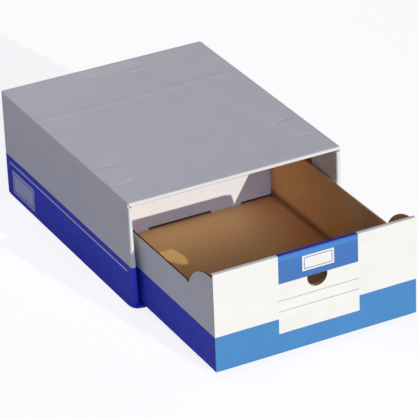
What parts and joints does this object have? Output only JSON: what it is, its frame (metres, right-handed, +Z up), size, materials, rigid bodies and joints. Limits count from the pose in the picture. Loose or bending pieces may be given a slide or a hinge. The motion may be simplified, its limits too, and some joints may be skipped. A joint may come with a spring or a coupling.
{
  "type": "file box with drawer",
  "caption": "Cardboard file box: a sleeve, open at the front, holding a pull-out drawer with a finger hole in its front; white outside with blue bands, brown inside.",
  "frame": {"origin": "middle of the sleeve's underside, on the surface it stands on", "axes": "+Z up; the drawer pulls out towards -Y; +X is the right-hand side when one looks at the drawer's front"},
  "size_m": [0.28, 0.537, 0.14],
  "materials": {
    "white_printed_board": "matt white paper liner on corrugated board, with blue printed bands",
    "blue_printed_board": "matt blue printed paper liner on corrugated board",
    "kraft_board": "bare brown kraft liner on corrugated board"
  },
  "bodies": {
    "casing": {"casing_top": "white_printed_board", "casing_left_wall": "white_printed_board", "casing_right_wall": "white_printed_board", "casing_top_turn_in": "white_printed_board", "casing_left_turn_in": "white_printed_board", "casing_right_turn_in": "white_printed_board", "casing_rear_panel": "white_printed_board", "casing_rear_tuck_flap": "white_printed_board", "casing_rear_left_flap": "white_printed_board", "casing_rear_right_flap": "white_printed_board", "casing_floor": "blue_printed_board", "casing_floor_turn_in": "blue_printed_board", "casing_seam_flap": "kraft_board"},
    "drawer": {"drawer_left_wall": "white_printed_board", "drawer_right_wall": "white_printed_board", "drawer_front_panel": "white_printed_board", "drawer_front_rim": "white_printed_board", "drawer_front_lining": "white_printed_board", "drawer_back_panel": "white_printed_board", "drawer_back_rim": "white_printed_board", "drawer_back_lining": "white_printed_board", "drawer_floor": "kraft_board", "drawer_front_left_flap": "kraft_board", "drawer_front_right_flap": "kraft_board", "drawer_back_left_flap": "kraft_board", "drawer_back_right_flap": "kraft_board"}
  },
  "joints": [
    {"name": "drawer_slide", "type": "slide", "parent": "casing", "child": "drawer", "axis": [0, -1, 0], "range_m": [-0.181, 0.12]}
  ]
}
